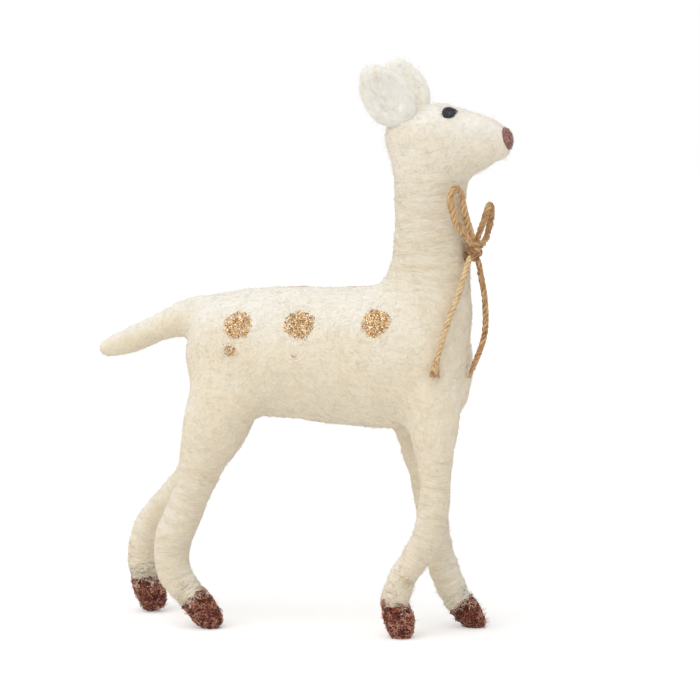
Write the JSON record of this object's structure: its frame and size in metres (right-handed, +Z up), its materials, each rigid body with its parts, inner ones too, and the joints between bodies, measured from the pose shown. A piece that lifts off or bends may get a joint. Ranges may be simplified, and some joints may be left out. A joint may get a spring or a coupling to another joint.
{
  "type": "felt deer ornament",
  "caption": "Standing needle-felted wool deer in cream with brown hooves, a dark nose, glitter spots on its flanks and a twine bow at the throat.",
  "frame": {"origin": "on the floor under the hooves, below the middle of the deer's length and width", "axes": "+X towards the nose, +Y towards the deer's left side, +Z up"},
  "size_m": [0.132, 0.0348, 0.1757],
  "materials": {
    "wool_cream": "needle-felted and wound wool, soft and matt with short loose fibres",
    "wool_core": "coarse core wool, matt",
    "wool_brown": "curly brown felted wool, matt",
    "wool_nose": "brown felted wool, matt",
    "wool_black": "black felted wool, matt",
    "wire": "bare drawn wire",
    "glitter": "gold polyester glitter flakes in dried clear glue, sparkling",
    "twine": "three-ply natural jute twine, hairy",
    "glue": "amber hot-melt glue, slightly translucent"
  },
  "bodies": {
    "root": {"trunk_coat": "wool_cream", "trunk_core": "wool_core", "neck": "wool_cream", "head": "wool_cream", "tail": "wool_cream", "ear_right": "wool_cream", "ear_left": "wool_cream", "front_leg_right": "wool_cream", "front_hoof_right": "wool_brown", "front_leg_left": "wool_cream", "front_hoof_left": "wool_brown", "hind_leg_right": "wool_cream", "hind_hoof_right": "wool_brown", "hind_leg_left": "wool_cream", "hind_hoof_left": "wool_brown", "nose": "wool_nose", "eye_right": "wool_black", "eye_left": "wool_black", "spine_wire": "wire", "front_leg_wire": "wire", "hind_leg_wire": "wire", "glitter_spot_right_rear": "glitter", "glitter_spot_right_middle": "glitter", "glitter_spot_right_front": "glitter", "glitter_smudge_right": "glitter", "glitter_spot_left_rear": "glitter", "glitter_spot_left_middle": "glitter", "glitter_spot_left_front": "glitter", "bow_knot": "twine", "bow_glue": "glue", "bow_loop_right": "twine", "bow_loop_left": "twine", "bow_end_right": "twine", "bow_end_left": "twine"}
  },
  "joints": []
}
